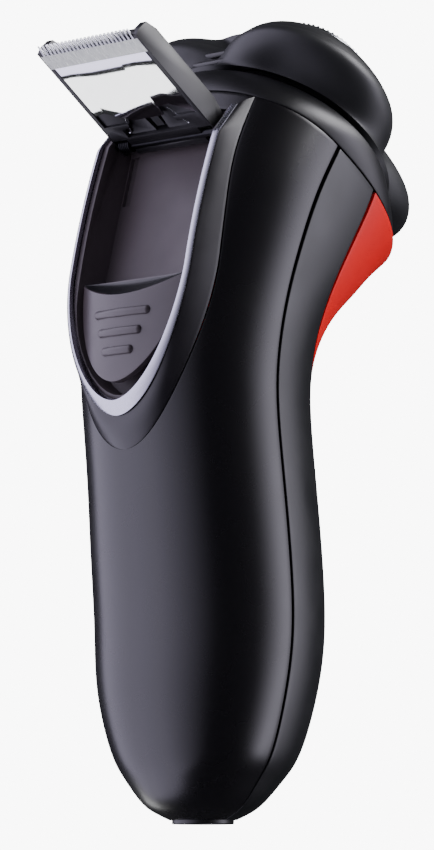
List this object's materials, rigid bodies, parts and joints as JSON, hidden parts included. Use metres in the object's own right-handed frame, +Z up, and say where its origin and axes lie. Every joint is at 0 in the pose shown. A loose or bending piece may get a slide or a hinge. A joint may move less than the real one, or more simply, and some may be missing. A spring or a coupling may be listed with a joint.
{
  "type": "electric shaver",
  "caption": "Cordless rotary electric shaver with a tilted three-cutter head, a red front panel and a pop-up trimmer with a release slide at the back of the neck.",
  "frame": {"origin": "centre of the charging inlet in the flat end of the handle", "axes": "+Z up along the handle from the inlet to the head, -Y to the front with the red panel, +Y to the back with the trimmer, +X to the user's side, left and right mirror each other across x = 0"},
  "size_m": [0.0648, 0.0846, 0.1638],
  "materials": {
    "shell_black": "high gloss moulded",
    "shell_front": "satin gloss moulded",
    "panel_red": "satin lacquer",
    "collar_black": "satin gloss moulded",
    "bezel_grey": "satin metallic paint",
    "rim_chrome": "bright plated",
    "tub_dark": "fine satin",
    "slide_violet": "satin",
    "spring_steel": "drawn wire",
    "flap_black": "satin moulded",
    "plate_mirror": "polished steel",
    "blade_steel": "ground",
    "arm_blue": "moulded acetal",
    "head_black": "soft matte",
    "base_black": "matte",
    "retainer_grey": "matte moulded",
    "guard_steel": "turned and slotted",
    "cutter_steel": "ground",
    "floor_black": "matte moulded",
    "seal_rubber": "matte",
    "screw_steel": "zinc plated",
    "gear_white": "moulded acetal",
    "pinion_brass": "hobbed",
    "motor_steel": "zinc plated can",
    "bracket_steel": "pressed",
    "frame_grey": "moulded",
    "cell_green": "heat-shrink sleeve",
    "strap_tape": "adhesive tape",
    "board_green": "solder mask",
    "switch_black": "moulded",
    "lead_red": "insulated wire",
    "lead_black": "insulated wire",
    "socket_black": "moulded",
    "pin_brass": "plated",
    "button_black": "satin moulded",
    "light_clear": "clear moulded"
  },
  "bodies": {
    "handle": {"rear_cover": "shell_black", "front_cover": "shell_front", "front_panel": "panel_red", "charge_light": "light_clear", "neck_collar": "collar_black", "trimmer_bezel": "bezel_grey", "trimmer_rim": "rim_chrome", "trimmer_tub": "tub_dark", "slide_spring": "spring_steel", "trimmer_hinge_pin": "spring_steel", "hinge_spring": "spring_steel", "chamber_floor": "floor_black", "spindle_seals": "seal_rubber", "chamber_screws": "screw_steel", "motor": "motor_steel", "motor_bracket": "bracket_steel", "motor_screws": "screw_steel", "inner_frame": "frame_grey", "battery_cells": "cell_green", "battery_straps": "strap_tape", "circuit_board": "board_green", "power_switch": "switch_black", "board_screws": "screw_steel", "battery_leads": "lead_red", "motor_leads": "lead_black", "inlet_socket": "socket_black", "inlet_pins": "pin_brass"},
    "power_button": {"power_button": "button_black"},
    "trimmer_slide": {"trimmer_slide": "slide_violet"},
    "trimmer_flap": {"trimmer_housing": "flap_black", "trimmer_comb": "plate_mirror", "trimmer_springs": "spring_steel"},
    "trimmer_arm": {"trimmer_drive_arm": "arm_blue"},
    "trimmer_blade": {"trimmer_cutter": "blade_steel"},
    "drive_pinion": {"drive_pinion": "pinion_brass"},
    "drive_gear_1": {"drive_gear_1": "gear_white"},
    "drive_gear_2": {"drive_gear_2": "gear_white"},
    "drive_gear_3": {"drive_gear_3": "gear_white"},
    "head": {"head_frame": "head_black", "head_base": "base_black", "cutter_retainer": "retainer_grey", "retainer_latch": "retainer_grey"},
    "guard_1": {"guard_1": "guard_steel"},
    "guard_2": {"guard_2": "guard_steel"},
    "guard_3": {"guard_3": "guard_steel"},
    "cutter_1": {"cutter_1": "cutter_steel"},
    "cutter_2": {"cutter_2": "cutter_steel"},
    "cutter_3": {"cutter_3": "cutter_steel"}
  },
  "joints": [
    {"name": "power_button_press", "type": "slide", "parent": "handle", "child": "power_button", "axis": [0, 1, 0], "range_m": [0, 0.0012], "stiffness_N_per_m": 500, "springref_m": -0.0006},
    {"name": "trimmer_release", "type": "slide", "parent": "handle", "child": "trimmer_slide", "axis": [0, 0.1097, -0.994], "range_m": [0, 0.0025], "stiffness_N_per_m": 300, "springref_m": -0.001},
    {"name": "trimmer_hinge", "type": "hinge", "parent": "handle", "child": "trimmer_flap", "pos_m": [0, 0.0092, 0.1394], "axis": [-1, 0, 0], "range_deg": [0, 110.9], "stiffness_Nm_per_rad": 0.004, "springref_deg": -34.38},
    {"name": "trimmer_arm_swing", "type": "hinge", "parent": "trimmer_flap", "child": "trimmer_arm", "pos_m": [0, 0.01628, 0.14595], "axis": [0, -0.6074, 0.7944], "range_deg": [-4, 4]},
    {"name": "trimmer_blade_shuttle", "type": "slide", "parent": "trimmer_flap", "child": "trimmer_blade", "axis": [-1, 0, 0], "range_m": [-0.00114, 0.00114]},
    {"name": "motor_spin", "type": "hinge", "parent": "handle", "child": "drive_pinion", "pos_m": [0, -0.0177, 0.141], "axis": [0, -0.6157, 0.788], "continuous": true},
    {"name": "head_lift", "type": "slide", "parent": "handle", "child": "head", "axis": [0, -0.6157, 0.788], "range_m": [0, 0.02]},
    {"name": "drive_gear_1_spin", "type": "hinge", "parent": "handle", "child": "drive_gear_1", "pos_m": [0.01386, -0.0114, 0.14593], "axis": [0, -0.6157, 0.788], "continuous": true},
    {"name": "drive_gear_2_spin", "type": "hinge", "parent": "handle", "child": "drive_gear_2", "pos_m": [0, -0.03031, 0.13115], "axis": [0, -0.6157, 0.788], "continuous": true},
    {"name": "drive_gear_3_spin", "type": "hinge", "parent": "handle", "child": "drive_gear_3", "pos_m": [-0.01386, -0.0114, 0.14593], "axis": [0, -0.6157, 0.788], "continuous": true},
    {"name": "guard_1_float", "type": "slide", "parent": "head", "child": "guard_1", "axis": [0, 0.6157, -0.788], "range_m": [0, 0.0012], "stiffness_N_per_m": 600, "springref_m": -0.0005},
    {"name": "guard_2_float", "type": "slide", "parent": "head", "child": "guard_2", "axis": [0, 0.6157, -0.788], "range_m": [0, 0.0012], "stiffness_N_per_m": 600, "springref_m": -0.0005},
    {"name": "guard_3_float", "type": "slide", "parent": "head", "child": "guard_3", "axis": [0, 0.6157, -0.788], "range_m": [0, 0.0012], "stiffness_N_per_m": 600, "springref_m": -0.0005},
    {"name": "cutter_1_spin", "type": "hinge", "parent": "guard_1", "child": "cutter_1", "pos_m": [0.01386, -0.01792, 0.15428], "axis": [0, -0.6157, 0.788], "continuous": true},
    {"name": "cutter_2_spin", "type": "hinge", "parent": "guard_2", "child": "cutter_2", "pos_m": [0, -0.03683, 0.1395], "axis": [0, -0.6157, 0.788], "continuous": true},
    {"name": "cutter_3_spin", "type": "hinge", "parent": "guard_3", "child": "cutter_3", "pos_m": [-0.01386, -0.01792, 0.15428], "axis": [0, -0.6157, 0.788], "continuous": true}
  ],
  "couplings": [
    {"joint": "drive_gear_1_spin", "follows": "motor_spin", "ratio": -1.2222},
    {"joint": "drive_gear_2_spin", "follows": "motor_spin", "ratio": -1.2222},
    {"joint": "drive_gear_3_spin", "follows": "motor_spin", "ratio": -1.2222},
    {"joint": "cutter_1_spin", "follows": "motor_spin", "ratio": -1.2222},
    {"joint": "cutter_2_spin", "follows": "motor_spin", "ratio": -1.2222},
    {"joint": "cutter_3_spin", "follows": "motor_spin", "ratio": -1.2222},
    {"joint": "trimmer_arm_swing", "follows": "trimmer_blade_shuttle", "rad_per_m": 60.976}
  ]
}
